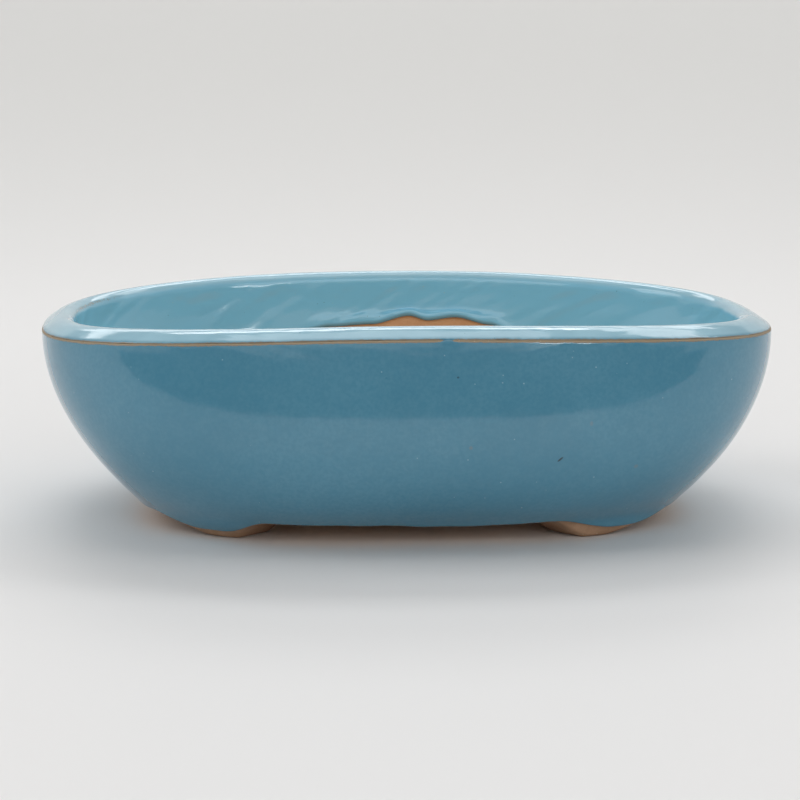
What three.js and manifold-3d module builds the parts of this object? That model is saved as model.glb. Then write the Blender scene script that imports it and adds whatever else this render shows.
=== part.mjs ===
// An oval bonsai pot of glazed stoneware: a pressed wall, a floor slab with its drain holes, four low
// feet, an outside coat of glaze and a second coat over the lip and the top of the inside.
// Units are millimetres, +Z is up, X runs along the pot, and the origin is on the ground under its centre.

import * as THREE from "three";
import { mergeVertices } from "three/addons/utils/BufferGeometryUtils.js";
import Module from "manifold-3d";

const wasm = await Module();
wasm.setup();

const { clamp, degToRad, lerp, smoothstep } = THREE.MathUtils;

// ---- driving dimensions -------------------------------------------------------------------------

const RIM = { halfLength: 70, halfWidth: 52.8, squareness: 2.57 };
const BASE = { halfLength: 52.4, halfWidth: 42.2, squareness: 2.93 };
const ARRIS_HEIGHT = 38.7; // the lip's sharp outer edge, at the middle of each long side
const CREST = { inset: 4, rise: 2.1 }; // the lip's highest line, from the arris
const BASE_HEIGHT = 3.9; // the wall's lower edge and the floor's underside
const END_SAG = 2.85; // how much lower the rim is at the two ends

const END_CURVE = 2; // power of the end walls' curve from rim to base
const SIDE_CURVE = 5.2; // power of the long walls' curve, which turns in only near the base
const SIDE_BELLY = 1.1; // how far the long walls swell past a plain curve

const WALL_INSIDE = 5.5; // from the pot's outer surface in to the clay's inner face
const GLAZE = 0.8; // thickness of a coat of glaze
const JOINT_GAP = 0.3; // between pieces that touch
const CLAY_DEPTH = GLAZE + JOINT_GAP; // how far the clay lies behind the outer surface
const COAT_TOP = ARRIS_HEIGHT - 1.1; // where the outside coat stops under the bare arris
const COAT_LOW_INSIDE = 28; // where the lip's coat stops on the inside

const FLOOR = { halfLength: 45, halfWidth: 35.5, squareness: 2.8, thickness: 5.5 };
const FLOOR_TOP = BASE_HEIGHT + FLOOR.thickness;
const DRAIN = { radius: 6.5, x: 21 };
const WIRE_HOLE = { radius: 1.5, x: 34, y: 15 };

const FOOT = { x: 33, y: 38, topLength: 24, soleLength: 6.5, depth: 9, draft: 0.35 };
const FOOT_FACING = degToRad(68); // which way a foot faces, from the pot's long axis
const FOOT_LOBE = { angle: degToRad(47), halfSpan: degToRad(13), drop: 2.1, reach: 6 };

const AROUND = 64; // segments round the oval
const THROWN_RADIUS = 61; // radius of the round form before it is pressed oval

const CLAY = { color: 0xb98a63, roughness: 0.85, metalness: 0 };
const COAT = { color: 0x5f95aa, roughness: 0.15, metalness: 0 };

// ---- the oval form ------------------------------------------------------------------------------

// Half length, half width and squareness of the pot's outer surface at a height.
function outlineAt(height) {
  if (height <= BASE_HEIGHT) {
    const drawnIn = FOOT.draft * (BASE_HEIGHT - height);
    return {
      halfLength: BASE.halfLength - drawnIn,
      halfWidth: BASE.halfWidth - drawnIn,
      squareness: BASE.squareness,
    };
  }
  const down = clamp((ARRIS_HEIGHT - height) / (ARRIS_HEIGHT - BASE_HEIGHT), 0, 1);
  const belly = SIDE_BELLY * Math.sin(Math.PI * down);
  return {
    halfLength: lerp(RIM.halfLength, BASE.halfLength, down ** END_CURVE),
    halfWidth: lerp(RIM.halfWidth, BASE.halfWidth, down ** SIDE_CURVE) + belly,
    squareness: lerp(RIM.squareness, BASE.squareness, down),
  };
}

// Distance from the centre to a superellipse, in the direction (x, y) of length 1.
function ovalRadius({ halfLength, halfWidth, squareness }, x, y) {
  const sum = Math.abs(x / halfLength) ** squareness + Math.abs(y / halfWidth) ** squareness;
  return sum ** (-1 / squareness);
}

// How far the sag of the pot's ends lowers a point.
function sagAt(x, height) {
  const up = clamp((height - FLOOR_TOP) / (ARRIS_HEIGHT - FLOOR_TOP), 0, 1);
  return END_SAG * up * (x / RIM.halfLength) ** 2;
}

// How far the outside coat runs down over the nearest foot, in the direction (x, y).
function footLobe(x, y) {
  const away = (Math.atan2(Math.abs(y), Math.abs(x)) - FOOT_LOBE.angle) / FOOT_LOBE.halfSpan;
  return Math.abs(away) < 1 ? FOOT_LOBE.drop * Math.cos((away * Math.PI) / 2) ** 2 : 0;
}

// A ring round the pot. Each profile point is [how far in from the outer surface, height], and the
// profile goes up the ring's outside and down its inside. With lobes, its lower edge dips at the feet.
function pressedRing(profile, lobes = false) {
  const points = profile.map(([inset, height]) => new THREE.Vector2(THROWN_RADIUS - inset, height));
  points.push(points[0].clone());
  const geometry = new THREE.LatheGeometry(points, AROUND);
  geometry.rotateX(Math.PI / 2);
  const position = geometry.getAttribute("position");
  const vertex = new THREE.Vector3();
  for (let i = 0; i < position.count; i++) {
    vertex.fromBufferAttribute(position, i);
    const thrown = Math.hypot(vertex.x, vertex.y);
    const inset = THROWN_RADIUS - thrown;
    const x = vertex.x / thrown;
    const y = vertex.y / thrown;
    let height = vertex.z;
    if (lobes) {
      const near = 1 - smoothstep(height, BASE_HEIGHT, BASE_HEIGHT + FOOT_LOBE.reach);
      height -= near * footLobe(x, y);
    }
    const oval = outlineAt(height);
    oval.halfLength -= inset;
    oval.halfWidth -= inset;
    const radius = ovalRadius(oval, x, y);
    position.setXYZ(i, radius * x, radius * y, height - sagAt(radius * x, height));
  }
  return geometry;
}

// Profile points on one face of the wall, from one height to another at the same inset.
function wallFace(inset, from, to, steps) {
  return Array.from({ length: steps + 1 }, (_, i) => [inset, lerp(from, to, i / steps)]);
}

// Profile points on the lip, given as [inset, rise above the arris].
function lipPoints(points) {
  return points.map(([inset, rise]) => [inset, ARRIS_HEIGHT + rise]);
}

// ---- solids for the boolean cuts ----------------------------------------------------------------

function toSolid(geometry) {
  const bare = geometry.clone();
  bare.deleteAttribute("normal");
  bare.deleteAttribute("uv");
  const merged = mergeVertices(bare, 1e-4);
  return new wasm.Manifold(
    new wasm.Mesh({
      numProp: 3,
      vertProperties: new Float32Array(merged.getAttribute("position").array),
      triVerts: new Uint32Array(merged.index.array),
    }),
  );
}

function toGeometry(solid) {
  const mesh = solid.getMesh();
  const geometry = new THREE.BufferGeometry();
  geometry.setAttribute("position", new THREE.BufferAttribute(mesh.vertProperties, 3));
  geometry.setIndex(new THREE.BufferAttribute(mesh.triVerts, 1));
  geometry.computeVertexNormals();
  return geometry;
}

// ---- the pieces ---------------------------------------------------------------------------------

// The floor's oval outline, larger all round by the given margin.
function floorOutline(margin) {
  const oval = {
    halfLength: FLOOR.halfLength + margin,
    halfWidth: FLOOR.halfWidth + margin,
    squareness: FLOOR.squareness,
  };
  const outline = Array.from({ length: AROUND }, (_, i) => {
    const angle = (2 * Math.PI * i) / AROUND;
    const radius = ovalRadius(oval, Math.cos(angle), Math.sin(angle));
    return new THREE.Vector2(radius * Math.cos(angle), radius * Math.sin(angle));
  });
  return new THREE.Shape(outline);
}

function extrudeUp(shape, depth, base) {
  const geometry = new THREE.ExtrudeGeometry(shape, { depth, bevelEnabled: false, curveSegments: 8 });
  return geometry.translate(0, 0, base);
}

// The floor slab, with two drain holes and four holes for the wires that hold a tree.
function floorGeometry() {
  const slab = floorOutline(0);
  const addHole = (x, y, radius) => {
    slab.holes.push(new THREE.Path().absarc(x, y, radius, 0, 2 * Math.PI, true));
  };
  for (const sideX of [-1, 1]) {
    addHole(sideX * DRAIN.x, 0, DRAIN.radius);
    for (const sideY of [-1, 1]) {
      addHole(sideX * WIRE_HOLE.x, sideY * WIRE_HOLE.y, WIRE_HOLE.radius);
    }
  }
  return extrudeUp(slab, FLOOR.thickness, BASE_HEIGHT);
}

// The clay wall: its outer face, the bare arris between the two coats, the lip, the inner face and the
// cove that meets the floor slab.
function wallGeometry() {
  const lip = lipPoints([
    [0.15, -0.45],
    [0.15, 0],
    [1.1, -0.2],
    [2.1, 0.4],
    [3.1, 0.8],
    [4.1, 0.95],
    [4.9, 0.6],
    [WALL_INSIDE, -0.2],
  ]);
  const cove = [
    [5.9, FLOOR_TOP + 4.9],
    [7.3, FLOOR_TOP + 2.2],
    [10, FLOOR_TOP],
    [16, FLOOR_TOP],
    [16, BASE_HEIGHT],
  ];
  const ring = pressedRing([
    ...wallFace(CLAY_DEPTH, BASE_HEIGHT, ARRIS_HEIGHT - 1.3, 9),
    ...lip,
    ...wallFace(WALL_INSIDE, ARRIS_HEIGHT - 2, FLOOR_TOP + 7.4, 6),
    ...cove,
  ]);
  const margin = 1;
  const seat = extrudeUp(floorOutline(JOINT_GAP), FLOOR.thickness + 2 * margin, BASE_HEIGHT - margin);
  return toGeometry(toSolid(ring).subtract(toSolid(seat)));
}

// One foot, for the corner in the directions sideX and sideY: a low hump cut to the pot's outline.
function footGeometry(sideX, sideY) {
  const height = BASE_HEIGHT - JOINT_GAP;
  const halfTop = FOOT.topLength / 2;
  const halfSole = FOOT.soleLength / 2;
  const hump = new THREE.Shape();
  hump.moveTo(-halfTop, height);
  hump.bezierCurveTo(-halfTop * 0.65, height * 0.8, -halfSole * 2, 0, -halfSole, 0);
  hump.lineTo(halfSole, 0);
  hump.bezierCurveTo(halfSole * 2, 0, halfTop * 0.65, height * 0.8, halfTop, height);
  hump.closePath();
  const block = extrudeUp(hump, FOOT.depth * 2, -FOOT.depth);
  block.rotateX(Math.PI / 2);
  const facing = Math.atan2(sideY * Math.sin(FOOT_FACING), sideX * Math.cos(FOOT_FACING));
  block.rotateZ(facing + Math.PI / 2);
  block.translate(sideX * FOOT.x, sideY * FOOT.y, 0);
  const innerFace = CLAY_DEPTH + FOOT.depth;
  const skirt = pressedRing([
    [CLAY_DEPTH, -1],
    [CLAY_DEPTH, BASE_HEIGHT],
    [innerFace, BASE_HEIGHT],
    [innerFace, -1],
  ]);
  return toGeometry(toSolid(block).intersect(toSolid(skirt)));
}

// The outside coat, from just under the bare arris down to the base, with a lobe over each foot.
function outerGlazeGeometry() {
  const profile = [
    ...wallFace(0, BASE_HEIGHT, COAT_TOP, 9),
    [0.25, COAT_TOP + 0.3],
    ...wallFace(GLAZE, COAT_TOP - 0.3, BASE_HEIGHT, 9),
  ];
  return pressedRing(profile, true);
}

// The coat over the lip and down the top of the inside.
function rimGlazeGeometry() {
  const backing = WALL_INSIDE + JOINT_GAP;
  const over = lipPoints([
    [0.45, 0.35],
    [1.4, 1.15],
    [2.7, 1.8],
    [CREST.inset, CREST.rise],
    [5.4, 1.85],
    [6.2, 1.2],
    [backing + GLAZE, 0],
  ]);
  const under = lipPoints([
    [5.75, 0.1],
    [5.1, 1],
    [4.1, 1.3],
    [2.95, 1.15],
    [1.9, 0.7],
    [1.05, 0.15],
  ]);
  return pressedRing([
    ...over,
    ...wallFace(backing + GLAZE, ARRIS_HEIGHT - 2.5, COAT_LOW_INSIDE + 0.4, 3),
    ...wallFace(backing, COAT_LOW_INSIDE, ARRIS_HEIGHT - 2.5, 3),
    ...under,
  ]);
}

// ---- the assembly -------------------------------------------------------------------------------

const pot = new THREE.Group();

function addPiece(name, geometry, finish) {
  const piece = new THREE.Mesh(geometry, new THREE.MeshStandardMaterial(finish));
  piece.name = name;
  pot.add(piece);
}

addPiece("pot_wall", wallGeometry(), CLAY);
addPiece("pot_floor", floorGeometry(), CLAY);
for (const [end, sideX] of [["left", -1], ["right", 1]]) {
  for (const [side, sideY] of [["front", -1], ["back", 1]]) {
    addPiece(`foot_${side}_${end}`, footGeometry(sideX, sideY), CLAY);
  }
}
addPiece("outer_glaze", outerGlazeGeometry(), COAT);
addPiece("rim_glaze", rimGlazeGeometry(), COAT);

export default pot;
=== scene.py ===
"""A small oval bonsai pot of glazed stoneware, built as fine pieces around its packed CAD frame.

Every piece is first made in its round form, as a potter would throw it, and a Geometry Nodes tree then
presses it to the oval. Lengths are metres, X runs along the pot and the origin is on the table under
its centre.
"""

import math

import bmesh
import bpy
import numpy as np
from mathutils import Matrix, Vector, noise


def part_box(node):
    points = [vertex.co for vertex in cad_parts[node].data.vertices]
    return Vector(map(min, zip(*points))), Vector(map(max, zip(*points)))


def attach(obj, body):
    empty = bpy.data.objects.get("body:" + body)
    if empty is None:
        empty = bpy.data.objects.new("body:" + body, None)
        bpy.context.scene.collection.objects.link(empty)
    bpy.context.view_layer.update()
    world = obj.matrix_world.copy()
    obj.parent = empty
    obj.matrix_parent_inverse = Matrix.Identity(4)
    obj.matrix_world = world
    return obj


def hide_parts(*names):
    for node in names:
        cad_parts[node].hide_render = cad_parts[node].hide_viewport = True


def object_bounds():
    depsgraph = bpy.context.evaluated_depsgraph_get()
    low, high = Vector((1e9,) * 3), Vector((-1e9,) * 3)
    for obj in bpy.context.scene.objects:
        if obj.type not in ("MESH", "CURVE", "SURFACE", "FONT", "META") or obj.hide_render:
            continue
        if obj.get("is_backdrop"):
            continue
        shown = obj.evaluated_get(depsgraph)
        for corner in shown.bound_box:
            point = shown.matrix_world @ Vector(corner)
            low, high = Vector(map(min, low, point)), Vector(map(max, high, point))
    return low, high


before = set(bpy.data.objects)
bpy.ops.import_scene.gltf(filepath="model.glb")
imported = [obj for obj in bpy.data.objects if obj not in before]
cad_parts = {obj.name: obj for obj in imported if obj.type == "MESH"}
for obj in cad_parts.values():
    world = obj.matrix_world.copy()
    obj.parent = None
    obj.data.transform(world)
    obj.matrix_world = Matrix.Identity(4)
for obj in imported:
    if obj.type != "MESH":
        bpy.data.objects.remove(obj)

bl_info = {
    "name": "Oval Bonsai Pot",
    "version": (1, 0, 0),
    "blender": (4, 5, 0),
    "location": "View3D > Sidebar > Bonsai Pot",
    "description": "Builds a glazed oval bonsai pot: clay body, feet, two coats of glaze and a table",
    "category": "Add Mesh",
}

CAD_LOW, CAD_HIGH = (tuple(corner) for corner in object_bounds())
COAT_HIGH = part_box("outer_glaze")[1]
FLOOR_LOW, FLOOR_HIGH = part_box("pot_floor")
BODY = "root"
MM = 0.001
HAND_WAVER = 0.12 * MM
CREST_RISE = 2.1 * MM
ARRIS_HEIGHT = CAD_HIGH[2] - CREST_RISE - HAND_WAVER


# ---- settings -----------------------------------------------------------------------------------


def length(name, description, default):
    return bpy.props.FloatProperty(
        name=name, description=description, default=default, unit="LENGTH", precision=5
    )


def number(name, description, default):
    return bpy.props.FloatProperty(name=name, description=description, default=default)


def colour(name, description, default):
    return bpy.props.FloatVectorProperty(
        name=name, description=description, default=default, subtype="COLOR", min=0, max=1
    )


class PotShape(bpy.types.PropertyGroup):
    """The oval form that every piece is pressed to"""

    rim_length: length("Rim half length", "Centre to the lip's edge at an end", COAT_HIGH[0] - HAND_WAVER)
    rim_width: length("Rim half width", "Centre to the lip's edge at a long side", 52.65 * MM)
    rim_squareness: number("Rim squareness", "Power of the rim's superellipse, 2 for an ellipse", 2.57)
    base_length: length("Base half length", "Centre to the wall's foot at an end", 52.1 * MM)
    base_width: length("Base half width", "Centre to the wall's foot at a long side", 41.8 * MM)
    base_squareness: number("Base squareness", "Power of the base's superellipse", 2.93)
    arris_height: length("Arris height", "The lip's outer edge, at the middle of a side", ARRIS_HEIGHT)
    base_height: length("Base height", "The wall's lower edge and the floor's underside", FLOOR_LOW[2])
    floor_top: length("Floor top", "The upper face of the floor", FLOOR_HIGH[2])
    end_sag: length("End sag", "How much lower the rim is at the two ends", 2.85 * MM)
    end_curve: number("End curve", "Power of the end walls' curve from rim to base", 2.02)
    side_curve: number("Side curve", "Power of the long walls' curve from rim to base", 5.2)
    side_belly: length("Side belly", "How far the long walls swell", 0.95 * MM)
    foot_draft: number("Foot draft", "How fast the feet draw in below the base", 0.35)
    thrown_radius: length("Thrown radius", "Radius of the round form before it is pressed", 61 * MM)
    floor_inset: length("Floor inset", "How far in from the outside the flat floor begins", 13 * MM)
    hand_waver: length("Hand waver", "How far the form strays from the true oval", HAND_WAVER)
    waver_size: length("Waver size", "Distance from one swelling of the wall to the next", 42 * MM)
    ripple: length("Ripple", "Height of the fine marks that a wet sponge leaves along the lip", 0.035 * MM)
    ripple_length: length("Ripple length", "Length of those marks, along the rim", 16 * MM)
    ripple_width: length("Ripple width", "Distance from one mark to the next, across the rim", 1.7 * MM)


class PotGlaze(bpy.types.PropertyGroup):
    """The two coats of glaze"""

    thickness: length("Glaze thickness", "Thickness of a coat", 0.5 * MM)
    body_blue: colour("Body blue", "Where the glaze lies evenly", (0.087, 0.258, 0.365))
    deep_blue: colour("Deep blue", "Where the glaze is clearer", (0.062, 0.214, 0.314))
    milk_blue: colour("Milky blue", "Where fine bubbles cloud the glaze", (0.146, 0.325, 0.420))
    # The thick cloudy glaze inside, painted much lighter than the outside's blue to stand in for the light
    # that falls into the pot.
    pooled_blue: colour("Pooled blue with painted light", "Where it lies thick and cloudy, inside", (0.215, 0.570, 0.780))
    # The lip's milky glaze, painted far paler than the body's blue as a painted reflection of the bright
    # surroundings.
    lip_blue: colour("Lip blue and sheen", "The milky glaze over the lip", (0.345, 0.575, 0.685))
    pale_speck: colour("Pale specks", "Small undissolved specks", (0.34, 0.52, 0.59))
    dark_speck: colour("Dark specks", "Small iron specks", (0.030, 0.040, 0.042))
    rolled_edge: colour("Rolled edge", "Where the glaze pools in a roll", (0.045, 0.135, 0.185))
    broken_edge: colour("Broken edge", "Where the glaze thins and the clay shows", (0.225, 0.190, 0.140))


class PotClay(bpy.types.PropertyGroup):
    """The bare fired clay"""

    # The body's clay and its darker mottling are painted lighter than the feet's clay, to stand in for the
    # light inside the pot and under it.
    toasted_and_lit: colour("Toasted clay", "The clay inside the pot", (0.74, 0.45, 0.245))
    shaded: colour("Dark clay", "Darker mottling of the clay inside", (0.58, 0.315, 0.155))
    sole: colour("Sole clay", "The clay of the feet", (0.42, 0.255, 0.155))
    sole_shade: colour("Dark sole clay", "Darker mottling of the feet", (0.27, 0.150, 0.085))
    stained: colour("Stained clay", "The bare arris, stained by the glaze", (0.37, 0.285, 0.19))
    grog: colour("Grog", "Pale grains in the clay", (0.62, 0.50, 0.36))
    iron: colour("Iron", "Dark grains in the clay", (0.09, 0.045, 0.025))


class PotStage(bpy.types.PropertyGroup):
    """The table, the light and the camera"""

    table_colour: colour("Table colour", "The pale table round the pot", (0.80, 0.793, 0.787))
    # Painted shade: the table's colour further from the pot, darker where the light falls off.
    far_shade_colour: colour("Sweep shade", "The table's sweep, further away", (0.605, 0.60, 0.585))
    room: number("Room light", "Brightness of the light from all round", 0.25)
    back: number("Back light", "Power in watts of the large soft light behind the pot", 9.5)
    low: number("Low light", "Power in watts of the wide light low behind the pot", 6.5)
    window: number("Window light", "Power in watts of the soft light behind the right corner", 6.6)
    overhead: number("Overhead light", "Power in watts of the soft light above the pot", 8.2)
    front: number("Front light", "Power in watts of the wide soft light over the camera", 6.0)
    doorway: number("Doorway light", "Power in watts of the small light in front, low down", 0.9)
    left: number("Left light", "Power in watts of the soft light on the left", 8.4)
    right: number("Right light", "Power in watts of the soft light on the right", 3.2)
    lamp: number("Corner lamps", "Power in watts of each of the two lamps behind the corners", 0.75)
    card: number("Front card", "Brightness of the dim card in front of the table", 0.08)
    lens: number("Lens", "Focal length in millimetres on a 36 mm sensor", 115.0)
    distance: length("Camera distance", "From the camera to the middle of the pot", 500 * MM)
    elevation: number("Camera elevation", "Degrees above the table", 9.26)
    azimuth: number("Camera azimuth", "Degrees that the camera stands round to the left", 4.0)


SETTINGS = {
    "bonsai_shape": PotShape,
    "bonsai_glaze": PotGlaze,
    "bonsai_clay": PotClay,
    "bonsai_stage": PotStage,
}


# ---- node arithmetic ----------------------------------------------------------------------------


class Number:
    """A number in a node tree. Plain arithmetic on it adds Math nodes."""

    def __init__(self, tree, source):
        self.tree = tree
        self.source = source

    def math(self, operation, *others):
        node = self.tree.nodes.new("ShaderNodeMath")
        node.operation = operation
        for socket, value in zip(node.inputs, (self, *others)):
            feed(self.tree, value, socket)
        return Number(self.tree, node.outputs[0])

    def __add__(self, other):
        return self.math("ADD", other)

    def __sub__(self, other):
        return self.math("SUBTRACT", other)

    def __mul__(self, other):
        return self.math("MULTIPLY", other)

    def __truediv__(self, other):
        return self.math("DIVIDE", other)

    def __pow__(self, other):
        return self.math("POWER", other)

    def clamped(self):
        return self.math("MAXIMUM", 0.0).math("MINIMUM", 1.0)

    def towards(self, end, amount):
        """The value that lies the given amount of the way from this number to end."""
        return self + (end - self) * amount

    def eased(self, start, end):
        """0 before start, 1 after end and a smooth step between them. Start may lie above end."""
        node = add_node(
            self.tree,
            "ShaderNodeMapRange",
            {"Value": self, "From Min": start, "From Max": end},
            interpolation_type="SMOOTHSTEP",
        )
        return Number(self.tree, node.outputs[0])


def feed(tree, value, socket):
    """Gives a socket a number, a colour, another socket or a Number."""
    value = value.source if isinstance(value, Number) else value
    if isinstance(value, bpy.types.NodeSocket):
        tree.links.new(value, socket)
    elif socket.type == "RGBA":
        socket.default_value = (*value, 1)
    else:
        socket.default_value = value


def add_node(tree, kind, inputs=None, **settings):
    """Adds a node, sets its properties and feeds its inputs by name or index."""
    node = tree.nodes.new(kind)
    for name, value in settings.items():
        setattr(node, name, value)
    for name, value in (inputs or {}).items():
        feed(tree, value, node.inputs[name])
    return node


# ---- pressing the round form oval ---------------------------------------------------------------

PRESS_LENGTHS = (
    "rim_length", "rim_width", "base_length", "base_width", "arris_height", "base_height", "floor_top",
    "end_sag", "side_belly", "thrown_radius", "floor_inset", "hand_waver", "waver_size",
    "ripple", "ripple_length", "ripple_width",
)  # fmt: skip
PRESS_NUMBERS = ("rim_squareness", "base_squareness", "end_curve", "side_curve", "foot_draft")


# How softly the wall turns into the feet at the base, as a share of the wall's height.
BASE_TURN = 0.022
# How far below the arris the marks of the sponge begin to deepen, and how deep they are lower down,
# as a share of their full depth.
SPONGED_REACH = 6 * MM
SPONGED_BELOW = 0.25


def press_tree():
    """The Geometry Nodes tree that presses a round form to the pot's oval and marks it as hands do."""
    name = "Press to oval"
    if name in bpy.data.node_groups:
        return bpy.data.node_groups[name]
    tree = bpy.data.node_groups.new(name, "GeometryNodeTree")
    tree.interface.new_socket("Geometry", in_out="INPUT", socket_type="NodeSocketGeometry")
    for key in PRESS_LENGTHS + PRESS_NUMBERS:
        socket = tree.interface.new_socket(key, in_out="INPUT", socket_type="NodeSocketFloat")
        if key in PRESS_LENGTHS:
            socket.subtype = "DISTANCE"
    tree.interface.new_socket("Finish", in_out="INPUT", socket_type="NodeSocketMaterial")
    tree.interface.new_socket("Geometry", in_out="OUTPUT", socket_type="NodeSocketGeometry")
    given = tree.nodes.new("NodeGroupInput")
    pot = {key: Number(tree, given.outputs[key]) for key in PRESS_LENGTHS + PRESS_NUMBERS}

    position = tree.nodes.new("GeometryNodeInputPosition").outputs[0]
    place = add_node(tree, "ShaderNodeSeparateXYZ", {0: position})
    x, y, height = (Number(tree, output) for output in place.outputs)
    thrown = (x * x + y * y).math("SQRT").math("MAXIMUM", 1e-9)
    across = x / thrown
    along = y / thrown
    pressed_place = oval_place(tree, pot, across, along, thrown, height)
    off_the_table = (height / (pot["base_height"] * 2.0)).clamped()
    drift = hand_drift(tree, pot, pressed_place, off_the_table)
    moved = add_node(
        tree, "GeometryNodeSetPosition", {"Geometry": given.outputs["Geometry"], "Position": drift}
    )

    # The marks lie along the rim, so they are long round the pot and short across the lip.
    marks_at = add_node(
        tree,
        "ShaderNodeCombineXYZ",
        {
            0: across * pot["thrown_radius"] / pot["ripple_length"],
            1: along * pot["thrown_radius"] / pot["ripple_length"],
            2: (height - thrown) / pot["ripple_width"],
        },
    )
    marks = add_node(
        tree,
        "ShaderNodeTexNoise",
        {"Vector": marks_at.outputs[0], "Scale": 1.0, "Detail": 1.0},
        normalize=False,
    )
    lip = height.eased(pot["arris_height"] - SPONGED_REACH, pot["arris_height"])
    share = lip * (1 - SPONGED_BELOW) + SPONGED_BELOW
    depth = pot["ripple"] * marks.outputs[0] * off_the_table * share
    outwards = add_node(
        tree,
        "ShaderNodeVectorMath",
        {0: tree.nodes.new("GeometryNodeInputNormal").outputs[0], "Scale": depth},
        operation="SCALE",
    )
    rippled = add_node(
        tree, "GeometryNodeSetPosition", {"Geometry": moved.outputs[0], "Offset": outwards.outputs[0]}
    )
    real = add_node(tree, "GeometryNodeRealizeInstances", {"Geometry": rippled.outputs[0]})
    finish = add_node(
        tree, "GeometryNodeSetMaterial", {"Geometry": real.outputs[0], "Material": given.outputs["Finish"]}
    )
    result = tree.nodes.new("NodeGroupOutput")
    tree.links.new(finish.outputs[0], result.inputs[0])
    return tree


def oval_place(tree, pot, across, along, thrown, height):
    """Where a point of the round form comes to lie on the oval."""
    below = (pot["base_height"] - height).math("MAXIMUM", 0.0) * pot["foot_draft"]
    wall_height = pot["arris_height"] - pot["base_height"]
    down = ((pot["arris_height"] - height) / wall_height).math("MAXIMUM", 0.0)
    past_base = down - 1.0
    down = (down + 1.0 - (past_base * past_base + BASE_TURN * BASE_TURN).math("SQRT")) * 0.5
    inset = (pot["thrown_radius"] - thrown).math("MINIMUM", pot["floor_inset"])
    belly = pot["side_belly"] * (down * math.pi).math("SINE")
    half_length = pot["rim_length"].towards(pot["base_length"], down ** pot["end_curve"])
    half_length = half_length - below - inset
    half_width = pot["rim_width"].towards(pot["base_width"], down ** pot["side_curve"])
    half_width = half_width + belly - below - inset
    power = pot["rim_squareness"].towards(pot["base_squareness"], down)
    total = (across.math("ABSOLUTE") / half_length) ** power
    total = total + (along.math("ABSOLUTE") / half_width) ** power
    to_centre = (thrown / (pot["thrown_radius"] - pot["floor_inset"])).math("MINIMUM", 1.0)
    radius = total ** (Number(tree, -1.0) / power) * to_centre
    up = ((height - pot["floor_top"]) / (pot["arris_height"] - pot["floor_top"])).clamped()
    from_middle = radius * across / pot["rim_length"]
    sag = pot["end_sag"] * up * from_middle * from_middle
    pressed_xyz = {0: radius * across, 1: radius * along, 2: height - sag}
    place = add_node(tree, "ShaderNodeCombineXYZ", pressed_xyz)
    return place.outputs[0]


def hand_drift(tree, pot, place, share):
    """The place, moved a little by long waves, as on a pot that was shaped by hand."""
    waves = add_node(
        tree,
        "ShaderNodeTexNoise",
        {"Vector": place, "Scale": Number(tree, 1.0) / pot["waver_size"], "Detail": 1.0},
        normalize=False,
    )
    drift = add_node(
        tree,
        "ShaderNodeVectorMath",
        {0: waves.outputs["Color"], "Scale": pot["hand_waver"] * share},
        operation="SCALE",
    )
    moved = add_node(tree, "ShaderNodeVectorMath", {0: place, 1: drift.outputs[0]}, operation="ADD")
    return moved.outputs[0]


def pressed(piece, material):
    """Presses a round piece to the oval and leaves it a plain mesh with one material."""
    shape = bpy.context.scene.bonsai_shape
    tree = press_tree()
    modifier = piece.modifiers.new("Press", "NODES")
    modifier.node_group = tree
    for item in tree.interface.items_tree:
        if item.in_out == "INPUT" and item.socket_type == "NodeSocketFloat":
            modifier[item.identifier] = getattr(shape, item.name)
        if item.in_out == "INPUT" and item.socket_type == "NodeSocketMaterial":
            modifier[item.identifier] = material
    bake(piece)
    piece.data.materials.clear()
    piece.data.materials.append(material)
    return piece


def bake(piece):
    """Turns a piece and its modifiers into a plain mesh."""
    graph = bpy.context.evaluated_depsgraph_get()
    finished = piece.evaluated_get(graph)
    mesh = bpy.data.meshes.new_from_object(finished, preserve_all_data_layers=True, depsgraph=graph)
    old = piece.data
    piece.modifiers.clear()
    piece.data = mesh
    bpy.data.meshes.remove(old)
    mesh.name = piece.name


# ---- round forms --------------------------------------------------------------------------------


def at(datum, *points):
    """Profile points given in millimetres, as [how far in from the outer surface, rise above a datum]."""
    return [(inset * MM, datum + rise * MM) for inset, rise in points]


def smooth_profile(points, spacing):
    """Points close together along a smooth curve through the given ones (centripetal Catmull-Rom)."""
    given = [np.array(point) for point in points]
    chain = [2 * given[0] - given[1], *given, 2 * given[-1] - given[-2]]
    fine = []
    for before, start, end, after in zip(chain, chain[1:], chain[2:], chain[3:]):
        t0 = 0.0
        t1 = t0 + math.sqrt(np.linalg.norm(start - before))
        t2 = t1 + math.sqrt(np.linalg.norm(end - start))
        t3 = t2 + math.sqrt(np.linalg.norm(after - end))
        steps = max(2, math.ceil(np.linalg.norm(end - start) / spacing))
        for t in np.linspace(t1, t2, steps, endpoint=False):
            a1 = (t1 - t) / (t1 - t0) * before + (t - t0) / (t1 - t0) * start
            a2 = (t2 - t) / (t2 - t1) * start + (t - t1) / (t2 - t1) * end
            a3 = (t3 - t) / (t3 - t2) * end + (t - t2) / (t3 - t2) * after
            b1 = (t2 - t) / (t2 - t0) * a1 + (t - t0) / (t2 - t0) * a2
            b2 = (t3 - t) / (t3 - t1) * a2 + (t - t1) / (t3 - t1) * a3
            fine.append((t2 - t) / (t2 - t1) * b1 + (t - t1) / (t2 - t1) * b2)
    fine.append(given[-1])
    return np.array(fine)


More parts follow.
